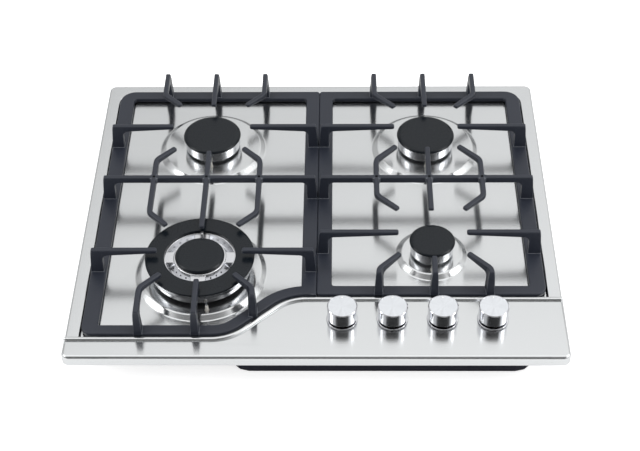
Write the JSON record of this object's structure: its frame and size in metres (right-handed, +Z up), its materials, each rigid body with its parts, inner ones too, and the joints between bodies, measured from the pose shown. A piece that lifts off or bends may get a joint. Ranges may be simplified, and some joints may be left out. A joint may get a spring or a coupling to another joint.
{
  "type": "gas cooktop",
  "caption": "Drop-in gas cooktop: pressed steel top with a swept raised control deck, cast pan grates, plain and triple-crown burners and push-and-turn knobs.",
  "frame": {"origin": "middle of the cooktop's plan, on the plane of the tray's floor", "axes": "+X to the user's right along the width, +Y to the back, +Z up"},
  "size_m": [0.58, 0.5, 0.0874],
  "materials": {
    "brushed_steel": "stainless steel, brushed left to right",
    "polished_aluminium": "machined and polished",
    "cast_aluminium": "plain casting",
    "cast_iron": "matt black-grey enamel on a casting",
    "black_enamel": "satin black vitreous enamel",
    "dark_sheet": "dark coated steel sheet",
    "zinc_sheet": "zinc-plated steel, dull",
    "brass": "machined",
    "ceramic": null,
    "black_plastic": "moulded",
    "foam": "closed-cell foam strip"
  },
  "bodies": {
    "cooktop": {"top_panel": "brushed_steel", "bottom_tray": "dark_sheet", "rim_seal": "foam", "clamp_1": "zinc_sheet", "clamp_2": "zinc_sheet", "clamp_3": "zinc_sheet", "clamp_4": "zinc_sheet", "rear_left_cup": "cast_aluminium", "rear_left_electrode": "ceramic", "rear_left_gas_pipe": "cast_aluminium", "rear_right_cup": "cast_aluminium", "rear_right_electrode": "ceramic", "rear_right_gas_pipe": "cast_aluminium", "front_right_cup": "cast_aluminium", "front_right_electrode": "ceramic", "front_right_gas_pipe": "cast_aluminium", "front_left_cup": "cast_aluminium", "front_left_head": "polished_aluminium", "front_left_electrode": "ceramic", "front_left_gas_pipe": "cast_aluminium", "bezel_1": "polished_aluminium", "valve_1": "brass", "bezel_2": "polished_aluminium", "valve_2": "brass", "bezel_3": "polished_aluminium", "valve_3": "brass", "bezel_4": "polished_aluminium", "valve_4": "brass", "gas_rail": "zinc_sheet", "gas_inlet": "brass", "mains_gland": "black_plastic", "ignition_module": "black_plastic"},
    "left_grate": {"left_grate": "cast_iron"},
    "right_grate": {"right_grate": "cast_iron"},
    "rear_left_head_body": {"rear_left_head": "polished_aluminium"},
    "rear_left_cap_body": {"rear_left_cap": "black_enamel"},
    "rear_right_head_body": {"rear_right_head": "polished_aluminium"},
    "rear_right_cap_body": {"rear_right_cap": "black_enamel"},
    "front_right_head_body": {"front_right_head": "polished_aluminium"},
    "front_right_cap_body": {"front_right_cap": "black_enamel"},
    "front_left_ring_cap_body": {"front_left_ring_cap": "black_enamel"},
    "front_left_centre_cap_body": {"front_left_centre_cap": "black_enamel"},
    "plug_body_1": {"valve_plug_1": "brass", "spring_1": "zinc_sheet"},
    "knob_body_1": {"knob_1": "polished_aluminium", "spindle_1": "zinc_sheet"},
    "plug_body_2": {"valve_plug_2": "brass", "spring_2": "zinc_sheet"},
    "knob_body_2": {"knob_2": "polished_aluminium", "spindle_2": "zinc_sheet"},
    "plug_body_3": {"valve_plug_3": "brass", "spring_3": "zinc_sheet"},
    "knob_body_3": {"knob_3": "polished_aluminium", "spindle_3": "zinc_sheet"},
    "plug_body_4": {"valve_plug_4": "brass", "spring_4": "zinc_sheet"},
    "knob_body_4": {"knob_4": "polished_aluminium", "spindle_4": "zinc_sheet"}
  },
  "joints": [
    {"name": "knob_1_turn", "type": "hinge", "parent": "cooktop", "child": "plug_body_1", "pos_m": [0.0304, -0.19, 0.053], "axis": [0, 0, 1], "range_deg": [0, 210]},
    {"name": "knob_1_push", "type": "slide", "parent": "plug_body_1", "child": "knob_body_1", "axis": [0, 0, -1], "range_m": [0, 0.003], "stiffness_N_per_m": 1500, "springref_m": -0.002, "deforming": ["spring_1"]},
    {"name": "knob_2_turn", "type": "hinge", "parent": "cooktop", "child": "plug_body_2", "pos_m": [0.0886, -0.19, 0.053], "axis": [0, 0, 1], "range_deg": [0, 210]},
    {"name": "knob_2_push", "type": "slide", "parent": "plug_body_2", "child": "knob_body_2", "axis": [0, 0, -1], "range_m": [0, 0.003], "stiffness_N_per_m": 1500, "springref_m": -0.002, "deforming": ["spring_2"]},
    {"name": "knob_3_turn", "type": "hinge", "parent": "cooktop", "child": "plug_body_3", "pos_m": [0.1468, -0.19, 0.053], "axis": [0, 0, 1], "range_deg": [0, 210]},
    {"name": "knob_3_push", "type": "slide", "parent": "plug_body_3", "child": "knob_body_3", "axis": [0, 0, -1], "range_m": [0, 0.003], "stiffness_N_per_m": 1500, "springref_m": -0.002, "deforming": ["spring_3"]},
    {"name": "knob_4_turn", "type": "hinge", "parent": "cooktop", "child": "plug_body_4", "pos_m": [0.205, -0.19, 0.053], "axis": [0, 0, 1], "range_deg": [0, 210]},
    {"name": "knob_4_push", "type": "slide", "parent": "plug_body_4", "child": "knob_body_4", "axis": [0, 0, -1], "range_m": [0, 0.003], "stiffness_N_per_m": 1500, "springref_m": -0.002, "deforming": ["spring_4"]},
    {"name": "left_grate_lift", "type": "slide", "parent": "cooktop", "child": "left_grate", "axis": [0, 0, 1], "range_m": [0, 0.12]},
    {"name": "right_grate_lift", "type": "slide", "parent": "cooktop", "child": "right_grate", "axis": [0, 0, 1], "range_m": [0, 0.12]},
    {"name": "rear_left_head_lift", "type": "slide", "parent": "cooktop", "child": "rear_left_head_body", "axis": [0, 0, 1], "range_m": [0, 0.06]},
    {"name": "rear_left_cap_lift", "type": "slide", "parent": "rear_left_head_body", "child": "rear_left_cap_body", "axis": [0, 0, 1], "range_m": [0, 0.03]},
    {"name": "rear_right_head_lift", "type": "slide", "parent": "cooktop", "child": "rear_right_head_body", "axis": [0, 0, 1], "range_m": [0, 0.06]},
    {"name": "rear_right_cap_lift", "type": "slide", "parent": "rear_right_head_body", "child": "rear_right_cap_body", "axis": [0, 0, 1], "range_m": [0, 0.03]},
    {"name": "front_right_head_lift", "type": "slide", "parent": "cooktop", "child": "front_right_head_body", "axis": [0, 0, 1], "range_m": [0, 0.06]},
    {"name": "front_right_cap_lift", "type": "slide", "parent": "front_right_head_body", "child": "front_right_cap_body", "axis": [0, 0, 1], "range_m": [0, 0.03]},
    {"name": "front_left_centre_cap_lift", "type": "slide", "parent": "cooktop", "child": "front_left_centre_cap_body", "axis": [0, 0, 1], "range_m": [0, 0.06]},
    {"name": "front_left_ring_cap_lift", "type": "slide", "parent": "cooktop", "child": "front_left_ring_cap_body", "axis": [0, 0, 1], "range_m": [0, 0.002]}
  ]
}
